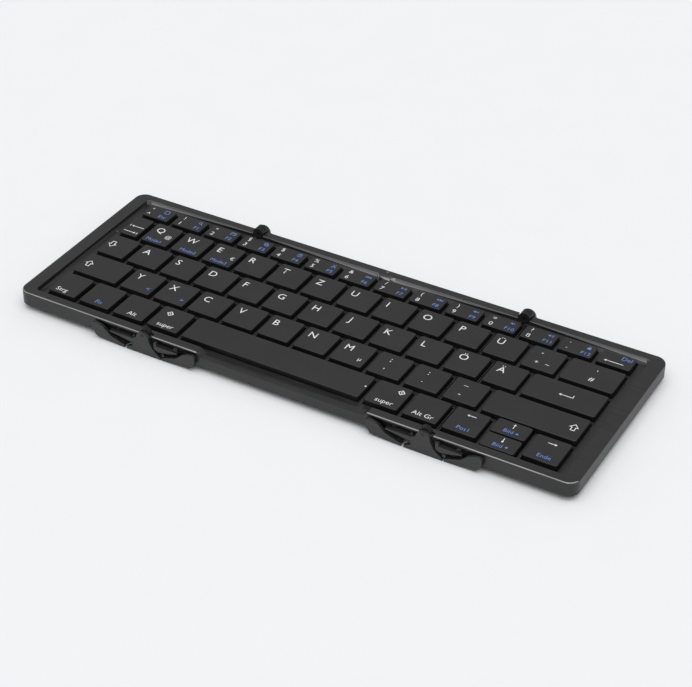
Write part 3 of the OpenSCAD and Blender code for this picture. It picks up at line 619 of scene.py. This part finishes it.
# Legends of each key, as (ink, words or picture, distance from the cap's left side, from its back, height)
MARKS = {
    (1, 0): number_key("°", "^", "home", "Esc", 2.4, 9.6),
    (1, 1): number_key("!", "1", "search", "F1"), (1, 2): number_key('"', "2", "window", "F2"),
    (1, 3): number_key("§", "3", "copy", "F3"), (1, 4): number_key("$", "4", "paste", "F4"),
    (1, 5): number_key("%", "5", "cut", "F5"), (1, 6): number_key("&", "6", "previous", "F6"),
    (1, 7): number_key("/", "7", "play_pause", "F7"), (1, 8): number_key("(", "8", "next", "F8"),
    (1, 9): number_key(")", "9", "mute", "F9"), (1, 10): number_key("=", "0", "quieter", "F10"),
    (1, 11): number_key("?", "ß", "louder", "F11"), (1, 12): number_key("`", "´", "lock", "F12"),
    (1, 13): [(BLUE, "Del", 11.2, 2.3, 2.3), (WHITE, "backspace", 6.9, 6.4, 1)],
    (2, 0): [(WHITE, "tab_back", 4.6, 7.7, 0.95), (WHITE, "tab_on", 4.1, 12.4, 0.95)],
    (2, 1): letter_key("Q", (WHITE, "@", 10.5, 8.4, 2.2), (BLUE, "Mode1", 5.9, 12.9, 2.0)),
    (2, 2): letter_key("W", (BLUE, "Mode2", 8.1, 12.9, 2.0)),
    (2, 3): letter_key("E", (WHITE, "€", 11.9, 8.4, 2.2), (BLUE, "Mode3", 7.7, 12.9, 2.0)),
    (2, 12): [(WHITE, "*", 5.2, 3.95, 1.6), (WHITE, "+", 5.4, 10.4, 2.3), (WHITE, "~", 10.1, 10.4, 2.3)],
    (2, 13): [(WHITE, "'", 12.3, 3.95, 2.6), (WHITE, "#", 12.3, 10.4, 2.6)],
    (3, 0): [(WHITE, "caps", 3.2, 7.2, 1)],
    (3, 12): [(WHITE, "enter", 16.7, 7.4, 1)],
    (4, 0): [(WHITE, "shift", 3.5, 7.6, 1)],
    (4, 1): letter_key("Y", (BLUE, "<", 12.3, 11.1, 2.4)),
    (4, 2): letter_key("X", (BLUE, ">", 12.1, 11.1, 2.4)),
    (4, 7): letter_key("M", (WHITE, "µ", 11.9, 10.7, 2.3)),
    (4, 8): [(WHITE, ";", 6.1, 4.5, 2.7), (WHITE, ",", 6.1, 10.7, 2.7)],
    (4, 9): [(WHITE, ":", 6.2, 4.5, 2.7), (WHITE, ".", 6.2, 10.7, 2.7)],
    (4, 10): [(WHITE, "_", 5.7, 4.5, 2.9), (WHITE, "-", 5.7, 10.7, 2.9)],
    (4, 11): [(WHITE, "shift", 36.5, 7.4, 1)],
    (5, 0): [(WHITE, "Strg", 5.4, 12.2, WORD_H)], (5, 1): [(BLUE, "Fn", 8.4, 12.2, WORD_H)],
    (5, 2): [(WHITE, "Alt", 8.3, 12.2, WORD_H)],
    (5, 3): [(WHITE, "diamond", 5.0, 4.3, 1.1), (WHITE, "super", 7.9, 12.4, 2.4)],
    (5, 4): [(WHITE, "dot", 82.9, 7.25, 1)],
    (5, 5): [(WHITE, "diamond", 11.4, 3.9, 1.1), (WHITE, "super", 8.0, 12.2, 2.4)],
    (5, 6): [(WHITE, "Alt Gr", 7.9, 12.2, WORD_H)],
    (5, 7): [(WHITE, "left", 7.8, 3.5, 1), (BLUE, "Pos1", 8.0, 12.0, 2.1)],
    (5, 9): [(WHITE, "right", 7.9, 3.45, 1), (BLUE, "Ende", 8.1, 11.85, 2.1)],
    (5, 8, 1): [(WHITE, "up", 7.7, 2.5, 0.9), (BLUE, "Bild", 6.9, 6.2, 2.0),
                (BLUE, "page_up", 10.6, 6.2, 1)],
    (5, 8, -1): [(WHITE, "down", 7.7, 2.65, 0.9), (BLUE, "Bild", 6.9, 6.2, 2.0),
                 (BLUE, "page_down", 10.6, 6.2, 1)],
}
for first, row, letters in ((4, 2, "RTZUIOPÜ"), (1, 3, "ASDFGHJKLÖÄ"), (3, 4, "CVBN")):
    for place_in_row, letter in enumerate(letters):
        MARKS[row, first + place_in_row] = letter_key(letter)

word_shapes = {}


def word(text):
    """Flat points and triangles of a word in the built-in font, made once for each word."""
    if text not in word_shapes:
        curve = bpy.data.curves.new("word", "FONT")
        curve.body = text
        curve.resolution_u = 3
        holder = bpy.data.objects.new("word", curve)
        bpy.context.scene.collection.objects.link(holder)
        mesh = bpy.data.meshes.new_from_object(holder.evaluated_get(bpy.context.evaluated_depsgraph_get()))
        merged = bmesh.new()
        merged.from_mesh(mesh)
        bmesh.ops.remove_doubles(merged, verts=merged.verts, dist=1e-5)
        merged.to_mesh(mesh)
        merged.free()
        points = np.zeros(len(mesh.vertices) * 3)
        mesh.vertices.foreach_get("co", points)
        mesh.calc_loop_triangles()
        faces = np.zeros(len(mesh.loop_triangles) * 3, np.int32)
        mesh.loop_triangles.foreach_get("vertices", faces)
        bpy.data.objects.remove(holder)
        bpy.data.curves.remove(curve)
        bpy.data.meshes.remove(mesh)
        word_shapes[text] = points.reshape(-1, 3)[:, :2], faces.reshape(-1, 3)
    return word_shapes[text]


def lettering(text, dx, dy, height):
    """One word in place: a big letter starts at a fixed distance from the left, a single sign is centred on
    its own box, and a longer word stands with half its capitals' height on the line."""
    points, faces = word(text)
    cap_height = word("H")[0][:, 1].max()
    points = points * (height / cap_height)
    low, high = points.min(axis=0), points.max(axis=0)
    left = 2.6 - low[0] if dx is None else dx - (low[0] + high[0]) / 2
    level = (low[1] + high[1]) / 2 if len(text) == 1 and dx is not None else height / 2
    return points + (left, -dy - level), [faces]


def legend_shapes(key):
    """Everything printed on a key, as (ink, points, faces), measured from its cap's back left corner."""
    row, cell, half = key
    for ink, what, dx, dy, height in MARKS.get((row, cell, half) if half else (row, cell), ()):
        if what in ICONS:
            for points, faces in ICONS[what]:
                yield ink, points * height + (dx, -dy), faces
        else:
            points, faces = lettering(what, dx, dy, height)
            yield ink, points, faces


def on_cap(box, points):
    """Lays flat points on a cap: X from its left side, Y from its back, Z on the dished top."""
    x, y = box[0] + points[:, 0], box[3] + points[:, 1]
    inset = np.minimum(np.minimum(x - box[0], box[2] - x), np.minimum(y - box[1], box[3] - y))
    half = half_side(box)
    return np.column_stack([x, y, dish(np.clip(inset - DRAFT - EDGE_R, 0, half), half)])


def make_legends():
    for node, keys in KEYS.items():
        shells, inks = [], []
        for key in keys:
            for ink, points, faces in legend_shapes(key):
                shells.append((on_cap(cap_box(*key), points), faces))
                inks.append(ink)
        if not shells:
            continue
        piece = place(node + "_legends", fill(node, shells, inks), node, [INK_WHITE, INK_BLUE])
        skin = piece.modifiers.new("ink thickness", "SOLIDIFY")
        skin.thickness = 0.04 * MM
        skin.offset = 0
        skin.use_even_offset = False


# ---------------------------------------------------------------- case


def merged(node):
    """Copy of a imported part's mesh with its doubled points merged."""
    shape = bmesh.new()
    shape.from_mesh(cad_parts[node].data)
    bmesh.ops.remove_doubles(shape, verts=shape.verts, dist=1e-7)
    mesh = bpy.data.meshes.new(node)
    shape.to_mesh(mesh)
    shape.free()
    return mesh


def trimmed(mesh, *cuts):
    """The mesh after a row of cuts, each an operation and a closed skin: INTERSECT keeps what lies inside
    the skin, and DIFFERENCE what lies outside it."""
    block = bpy.data.objects.new("block", mesh)
    cutters = [bpy.data.objects.new("cutter", skin) for _, skin in cuts]
    for piece in (block, *cutters):
        bpy.context.scene.collection.objects.link(piece)
    for (operation, _), cutter in zip(cuts, cutters):
        cut = block.modifiers.new("cut", "BOOLEAN")
        cut.operation = operation
        cut.solver = "EXACT"
        cut.object = cutter
    result = bpy.data.meshes.new_from_object(block.evaluated_get(bpy.context.evaluated_depsgraph_get()))
    for piece in (block, *cutters):
        bpy.data.objects.remove(piece)
    return result


CASE_BOX = (-BODY_L / 2, -BODY_D / 2, BODY_L / 2, BODY_D / 2)
WELL_BOX = (-WELL_L / 2, -WELL_D / 2, WELL_L / 2, WELL_D / 2)
TAB_X, TAB_HALF = 0.8, 4.4
BATTERY_T, BAY_FLOOR, BAY_R, BAY_HALF_L, BAY_HALF_D, BAY_Y = 1.8, 0.7, 3.0, 32, 21.3, -4
BAY_BOX = (-BAY_HALF_L, BAY_Y - BAY_HALF_D, BAY_HALF_L, BAY_Y + BAY_HALF_D)
Z_BAY = Z_COVER - BATTERY_T - BAY_FLOOR - 0.1
RIM_EDGE_R, WELL_EDGE_R, FOOT_EDGE_R, BAY_EDGE_R = 0.8, 0.4, 0.6, 0.5
# The rounded skins lie this far outside the case's walls, so that they only cut its edges
OUTSIDE = 0.02


def case_ring(inset, z, box=CASE_BOX, radius=CORNER_R):
    return at_height(rounded_outline(box, inset, radius, 24, 1), z)


def upper_envelope():
    """The case's outline carried up its walls and round over its upper edge."""
    rings = [case_ring(-OUTSIDE, Z_COVER - 0.5)]
    rings += [case_ring(d, z) for d, z in quarter(-OUTSIDE, Z_RIM + 0.01, RIM_EDGE_R, 8)]
    return lofted(rings)


def lower_envelope(with_bay):
    """The same for the covers, round under the lower edge; the middle one starts with the battery bay."""
    rings = []
    if with_bay:
        lower = under_quarter(-OUTSIDE, Z_BAY - 0.01, BAY_EDGE_R)
        rings += [case_ring(d, z, BAY_BOX, BAY_R) for d, z in lower]
        rings.append(case_ring(-OUTSIDE, Z_BASE - OUTSIDE, BAY_BOX, BAY_R))
    rings += [case_ring(d, z) for d, z in under_quarter(-OUTSIDE, Z_BASE - OUTSIDE, FOOT_EDGE_R, 6)]
    rings.append(case_ring(-OUTSIDE, Z_COVER + 0.6))
    return lofted(rings)


def well_edge():
    """What rounds off the well's upper edge: a small section carried round the well, from one side of the
    tab in the back rim to the other. The section is bounded by a quarter circle, a little air over the rim
    and a little air inside the well, as (inset, height)."""
    a = np.linspace(0, np.pi / 2, 6)
    section = [(WELL_EDGE_R * (np.cos(t) - 1), Z_RIM - WELL_EDGE_R * (1 - np.sin(t))) for t in a]
    section += [(-WELL_EDGE_R, Z_RIM + 0.3), (0.2, Z_RIM + 0.3), (0.2, Z_RIM - WELL_EDGE_R)]
    corner, lines = 8, []
    for inset, z in section:
        way = np.roll(rounded_outline(WELL_BOX, inset, WELL_R, corner, 1), -corner - 1, axis=0)
        ends = np.array([(TAB_X - TAB_HALF - 0.05, way[0, 1]), (TAB_X + TAB_HALF + 0.05, way[0, 1])])
        lines.append(at_height(np.vstack([ends[:1], way, ends[1:]]), z))
    return lofted(np.stack(lines, axis=1))


def even_normals(piece):
    """Shades a piece by its large faces, so that cut flat faces look flat."""
    even = piece.modifiers.new("even shading", "WEIGHTED_NORMAL")
    even.mode = "FACE_AREA"
    even.weight = 60
    even.keep_sharp = True


def paint_edge_highlights(mesh):
    """Paints a highlight on rounded upper edges that look towards the front: they get the much lighter edge
    coat in place of the light that such edges catch. On the back half these are all faces near the rim whose
    normal leans forward, and on the front half only those whose normal stands about halfway between upright
    and level."""
    normals = np.zeros(len(mesh.polygons) * 3)
    mesh.polygons.foreach_get("normal", normals)
    _, ny, nz = normals.reshape(-1, 3).T
    middles = np.zeros(len(mesh.polygons) * 3)
    mesh.polygons.foreach_get("center", middles)
    _, y, z = middles.reshape(-1, 3).T / MM
    inner = y > 0
    edge = (ny < -0.2) & (z > Z_RIM - 1) & np.where(inner, nz > -0.1, (nz > 0.6) & (nz < 0.9))
    mesh.polygons.foreach_set("material_index", edge.astype(np.int32))
    return mesh


def make_case():
    for side in SIDE_OF:
        body = side + "_section"
        node = side + "_top_frame"
        # The frames' front-facing rounded edges get the edge coat, a painted highlight.
        shape = paint_edge_highlights(trimmed(merged(node), ("INTERSECT", fill("envelope", [upper_envelope()])),
                                  ("DIFFERENCE", fill("well edge", [well_edge()]))))
        even_normals(place(side + "_frame_rounded", shape, body, [FRAME_METAL, EDGE_HIGHLIGHT], [node]))
        node = side + "_bottom_cover"
        shape = trimmed(merged(node), ("INTERSECT", fill("envelope", [lower_envelope(side == "centre")])))
        even_normals(place(side + "_cover_rounded", shape, body, [COVER_METAL], [node]))


# ---------------------------------------------------------------- hinges, feet, screws and small parts

# Heights over which the hinge parts behind the case are pressed down, and the barrels' reach from a fold
PRESSED_FROM = {"hinge_leaves": 6.9, "hinge_feet": 6.6}
BARREL_REACH = 4.5


def lowered_behind(mesh, from_z):
    """Presses down what rises behind the back rim beside the barrels: what a height has over from_z is cut
    to a third, so that the rim hides these tips from the front."""
    points = np.zeros(len(mesh.vertices) * 3, np.float32)
    mesh.vertices.foreach_get("co", points)
    x, y, z = points.reshape(-1, 3).T / MM
    fold = np.minimum(np.abs(x - FOLD_LEFT), np.abs(x - FOLD_RIGHT))
    tip = (y > BODY_D / 2 + 0.2) & (fold > BARREL_REACH) & (z > from_z)
    z = np.where(tip, from_z + (z - from_z) / 3, z)
    mesh.vertices.foreach_set("co", (np.column_stack([x, y, z]) * MM).astype(np.float32).ravel())
    mesh.update()
    return mesh


def make_hinges():
    for side in SIDE_OF:
        body = side + "_section"
        for part, from_z in PRESSED_FROM.items():
            node = side + "_" + part
            shape = lowered_behind(merged(node), from_z)
            even_normals(place(node + "_coated", shape, body, [HINGE_METAL], [node], 20))
    node = "hinge_pins"
    even_normals(place(node + "_turned", merged(node), "centre_section", [PIN_STEEL], [node]))


PAD_R = 4.0
PAD_IN_X, PAD_IN_Y = 12, 11
CENTRE_PAD_X = 2.45 * KEY_PITCH


def pad_places(side):
    y = BODY_D / 2 - PAD_IN_Y
    xs = (-CENTRE_PAD_X, CENTRE_PAD_X) if side == 0 else (side * (BODY_L / 2 - PAD_IN_X),)
    return [(x, sign * y) for x in xs for sign in (-1, 1)]


def pad_shell(x, y):
    """Rubber foot turned about its middle: a flat sole with a shallow ring groove and a rounded edge."""
    groove = [(1.9, 0), (2.05, 0.12), (2.45, 0.12), (2.6, 0)]
    edge = [(PAD_R - i, z) for i, z in under_quarter(0, 0, 0.5, 6)]
    return turned(x, y, [(0.3, 0), *groove, *edge, (PAD_R, Z_BASE - 0.02), (PAD_R - 0.1, Z_BASE)], 64)


RIM_SCREW_IN, END_SCREW_IN, CENTRE_SCREW_X = 30, 14, (-34, 28)
ANCHOR_SCREW, RECESS_D, ANCHOR_D, TONGUE_T = 12, 1.4, LONG_RIM - 0.5, 1.2
SCREW_R, HEAD_R, HEAD_H = 0.6, 1.1, 0.5
CROSS_HALF, CROSS_REACH, CROSS_DEPTH = 0.2, 0.74, 0.28


def rim_screws(side):
    """Small screws of a section: in its long rims, and of an outer one also in its end rim."""
    y = (BODY_D - LONG_RIM) / 2
    if side == 0:
        return [(x, sign * y) for x in CENTRE_SCREW_X for sign in (-1, 1)]
    ends = [(side * (BODY_L - SIDE_RIM) / 2, sign * (BODY_D / 2 - END_SCREW_IN)) for sign in (-1, 1)]
    return ends + [(side * (BODY_L / 2 - RIM_SCREW_IN), sign * y) for sign in (-1, 1)]


def hinge_screws(side):
    """Screws of the hinge blocks: one on each side of a fold, in the front and the back rim."""
    y = BODY_D / 2 - (RECESS_D + ANCHOR_D) / 2
    reach = {-1: [FOLD_LEFT - ANCHOR_SCREW], 0: [FOLD_LEFT + ANCHOR_SCREW, FOLD_RIGHT - ANCHOR_SCREW],
             1: [FOLD_RIGHT + ANCHOR_SCREW]}[side]
    return [(x, sign * y) for x in reach for sign in (-1, 1)]


def screw_shell(x, y, z_head, z_tip):
    """Screw turned about its middle. The head's face sinks by a cross: a point lies in an arm where it is
    within the half width of one axis and the arm's length of the other, eased at the edges."""
    faces = np.array([0.1, 0.2, 0.3, 0.42, 0.55, 0.68, 0.8, 0.92])
    profile = [*[(r, z_head) for r in faces], (HEAD_R - 0.1, z_head), (HEAD_R, z_head + 0.08),
               (HEAD_R, z_head + HEAD_H), (SCREW_R, z_head + HEAD_H), (SCREW_R, z_tip - 0.4), (0.25, z_tip)]
    points, blocks = turned(x, y, profile, 56)
    dx, dy = np.abs(points[:, 0] - x), np.abs(points[:, 1] - y)
    across = np.clip((CROSS_HALF - np.minimum(dx, dy)) / 0.06, 0, 1)
    along = np.clip((CROSS_REACH - np.maximum(dx, dy)) / 0.1, 0, 1)
    points[:, 2] += np.where(points[:, 2] == z_head, CROSS_DEPTH * np.minimum(across, along), 0)
    return points, blocks


def make_feet_and_screws():
    z_anchor = Z_RIM - 2.5
    for name, side in SIDE_OF.items():
        body, node = name + "_section", name + "_rubber_feet"
        pads = fill(name, [pad_shell(x, y) for x, y in pad_places(side)])
        place(name + "_feet_moulded", pads, body, [FOOT_RUBBER], [node])
        shells = [screw_shell(x, y, Z_BASE, Z_WEB_TOP - 1) for x, y in rim_screws(side)]
        shells += [screw_shell(x, y, Z_BASE - TONGUE_T, z_anchor - 0.8) for x, y in hinge_screws(side)]
        place(name + "_screws_turned", fill(name, shells), body, [SCREW_STEEL], [name + "_screws"])


def lens(node, x, y, r, top, body):
    """Light window turned about its middle, with a softly rounded upper edge."""
    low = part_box(node)[0].z / MM
    profile = [(0.1, low), (r, low), *[(r - i, z) for i, z in quarter(0, top, 0.12, 4)], (0.1, top)]
    place(node + "_lens", fill(node, [turned(x, y, profile, 32)]), body, [LENS], [node])


STATUS_LIGHT, STATUS_LIGHT_R = (0.1, (BODY_D - LONG_RIM) / 2 + 0.4), 0.6
CAPS_LIGHT, CAPS_LIGHT_R = (-WELL_L / 2 + 1.2, row_front(2) + 2.6), 0.45
CABLE_W, CABLE_T, CABLE_LAYER, CABLE_TURN = 12.0, 0.09, 0.14, 0.04
CABLE_START, PLEAT_NEAR, PLEAT_FAR, CABLE_END = -8, 4.03, 11.97, 13.94
CABLE_FROM_CAPS = 1.5
Z_CABLE = Z_COVER + 0.09


def cable_shell(side):
    """Flat cable as a thin strip carried along its run: level over the fold, then folded back twice in the
    pocket of the middle cover and up to the board. Each edge lies half a thickness off the run's line,
    along the mean of the normals of the two stretches that meet there."""
    top, middle, low = Z_CABLE - CABLE_LAYER * np.arange(3)
    path = [
        *[(u, top) for u in np.linspace(CABLE_START, 6, 57)],
        (PLEAT_FAR - CABLE_TURN, top), (PLEAT_FAR, top - CABLE_TURN),
        (PLEAT_FAR, middle + CABLE_TURN), (PLEAT_FAR - CABLE_TURN, middle),
        (PLEAT_NEAR + CABLE_TURN, middle), (PLEAT_NEAR, middle - CABLE_TURN),
        (PLEAT_NEAR, low + CABLE_TURN), (PLEAT_NEAR + CABLE_TURN, low),
        (CABLE_END - CABLE_TURN, low), (CABLE_END, low + CABLE_TURN), (CABLE_END, top + 0.08),
    ]
    edges, _ = stroke(path, CABLE_T)
    n = len(path)
    outline = np.vstack([edges[:n], edges[n:][::-1]])
    x0 = cell_x(3, LEFT_CELLS[2]) if side < 0 else cell_x(3, RIGHT_FROM[2])
    y0 = row_front(3) + CABLE_FROM_CAPS
    sides = (y0 + CABLE_W, y0) if side < 0 else (y0, y0 + CABLE_W)
    points, (walls, _) = lofted([
        np.column_stack([x0 - side * outline[:, 0], np.full(len(outline), y), outline[:, 1]]) for y in sides
    ])
    # The two long sides are narrow and winding, so quads between the edges close them in place of one face
    j = np.arange(n - 1)
    strip = np.stack([j, j + 1, 2 * n - 2 - j, 2 * n - 1 - j], axis=1)
    return points, [walls, strip[:, ::-1], strip + 2 * n]


DOME_H = Z_DOME - Z_SHEET_TOP
SHEET_FIT, SHEET_FROM_SPLIT = 0.3, 1.1
NOTCH_X, NOTCH_Y = (-28.1, -19.9), 40


def dome_shell(box):
    """Hollow rubber dome turned about its middle: up the inside of the wall, round the foot, up the outside
    in a soft shoulder, and in over the flat top."""
    x, y = (box[0] + box[2]) / 2, (box[1] + box[3]) / 2
    profile = [(0.1, DOME_H - 0.4), (1.25, DOME_H - 0.4), (2.2, 0.01), (2.6, 0.01), (2.55, 0.2), (2.3, 0.7),
               (2.05, 1.25), (1.85, 1.75), (1.7, 2.05), (1.5, DOME_H - 0.04), (1.3, DOME_H), (0.1, DOME_H)]
    return turned(x, y, [(r, Z_SHEET_TOP + h) for r, h in profile], 32)


def edge_line(fold, cells, side):
    """Edge of a rubber sheet along a split: the split's line through the rows, moved a fixed distance to
    the sheet's side, with each step between two rows moved the same way."""
    off = SHEET_FROM_SPLIT
    x = np.array([fold, *[cell_x(row, cells[row - 1]) for row in (5, 4, 3, 2, 1)], fold])
    lines = np.array([-(FIELD_D + LONG_MARGIN) / 2, *[row_back(row) + KEY_GAP / 2 for row in (5, 4, 3, 2)],
                      (FIELD_D + LONG_MARGIN) / 2])
    lines = lines - side * off * np.sign(np.diff(x))
    y = np.concatenate([[-WELL_D / 2 + SHEET_FIT], np.repeat(lines, 2), [WELL_D / 2 - SHEET_FIT]])
    return np.column_stack([np.repeat(x + side * off, 2), y])


def sheet_shell(side):
    """Thin rubber sheet: its outline between the case's walls and the splits, at two heights. The middle one
    has a notch at the back for the charging socket."""
    end, back = side * (WELL_L / 2 - SHEET_FIT), WELL_D / 2 - SHEET_FIT
    corners = np.array([(end, back), (end, -back)])
    if side < 0:
        outline = np.vstack([edge_line(FOLD_LEFT, LEFT_CELLS, -1), corners])
    elif side > 0:
        outline = np.vstack([edge_line(FOLD_RIGHT, RIGHT_FROM, 1)[::-1], corners[::-1]])
    else:
        low, high = NOTCH_X
        notch = np.array([(high, back), (high, NOTCH_Y), (low, NOTCH_Y), (low, back)])
        outline = np.vstack([edge_line(FOLD_RIGHT, RIGHT_FROM, -1), notch,
                             edge_line(FOLD_LEFT, LEFT_CELLS, 1)[::-1]])
    return lofted([at_height(outline, z) for z in (Z_SHEET, Z_SHEET_TOP)])


def make_rubber():
    """A sheet under each section, and on it the domes, drawn standing; a pressed key would flatten them."""
    for name, side in SIDE_OF.items():
        node = name + "_dome_sheet"
        sheet = fill(node, [sheet_shell(side)])
        place(node + "_cast", sheet, name + "_section", [DOME_RUBBER], [node])
    for node, keys in KEYS.items():
        row, cell, _ = keys[0]
        side = "left" if cell < LEFT_CELLS[row - 1] else "right" if cell >= RIGHT_FROM[row - 1] else "centre"
        domes = fill(node, [dome_shell(cap_box(*key)) for key in keys])
        piece = place(node + "_domes", domes, side + "_section", [DOME_RUBBER])
        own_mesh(piece)


def make_small_parts():
    """Light windows, the cables that run over the folds, and the finishes of the parts inside."""
    lens("status_light", *STATUS_LIGHT, STATUS_LIGHT_R, Z_RIM, "centre_section")
    lens("caps_light", *CAPS_LIGHT, CAPS_LIGHT_R, Z_WEB_TOP, "left_section")
    for name, side, cells in (("left", -1, LEFT_CELLS), ("right", 1, RIGHT_FROM)):
        strip = fill(name, [cable_shell(side)])
        cable = place(name + "_flex_cable", strip, None, [CABLE_FILM], ["flex_cables"])
        split, z = cell_x(3, cells[2]), Z_CABLE
        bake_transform(cable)
    for name in SIDE_OF:
        dress(name + "_circuit_board", BOARD_MASK)
    dress("battery", BATTERY_FOIL)
    dress("wireless_module", MODULE_CAN)
    dress("charging_socket", SOCKET_STEEL)


def dress(node, material):
    """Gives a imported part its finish."""
    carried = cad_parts[node]
    if not carried.material_slots:
        carried.data.materials.append(material)
    for holder in carried.material_slots:
        holder.material = material


# ---------------------------------------------------------------- floor, light and camera


def make_studio():
    """Pale floor, an even surround, one very wide light overhead, and the camera at the photo's angle."""
    size = 3000.0
    corners = np.array([(-size, -size, 0), (size, -size, 0), (size, size, 0), (-size, size, 0)], float)
    floor = bpy.data.objects.new("floor", fill("floor", [(corners, [np.arange(4)[None, :]])]))
    floor.data.materials.append(PAPER)
    bpy.context.scene.collection.objects.link(floor)
    floor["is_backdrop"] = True

    world = bpy.data.worlds.new("white surround")
    world.use_nodes = True
    world.node_tree.nodes["Background"].inputs["Color"].default_value = (0.985, 0.99, 1.0, 1)
    world.node_tree.nodes["Background"].inputs["Strength"].default_value = 0.46
    bpy.context.scene.world = world

    soft = bpy.data.lights.new("wide overhead light", "SUN")
    soft.angle = math.radians(70)
    soft.energy = 1.84
    lamp = bpy.data.objects.new("wide overhead light", soft)
    lamp.rotation_euler = (math.radians(14), math.radians(8), 0)
    bpy.context.scene.collection.objects.link(lamp)

    lens_data = bpy.data.cameras.new("camera")
    lens_data.lens = 100.31773
    lens_data.sensor_width = 36
    lens_data.clip_start = 0.01
    camera = bpy.data.objects.new("camera", lens_data)
    camera.location = (0.32637684, -0.56648002, 0.47037523)
    camera.rotation_euler = [math.radians(a) for a in (54.20172073, -0.26206917, 29.76283713)]
    bpy.context.scene.collection.objects.link(camera)
    bpy.context.scene.camera = camera
    bpy.context.scene.view_settings.view_transform = "Standard"


make_studio()
make_case()
make_hinges()
make_caps()
make_legends()
make_feet_and_screws()
make_rubber()
make_small_parts()

visual_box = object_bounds()
[[list(corner) for corner in box] for box in (cad_box, visual_box)]
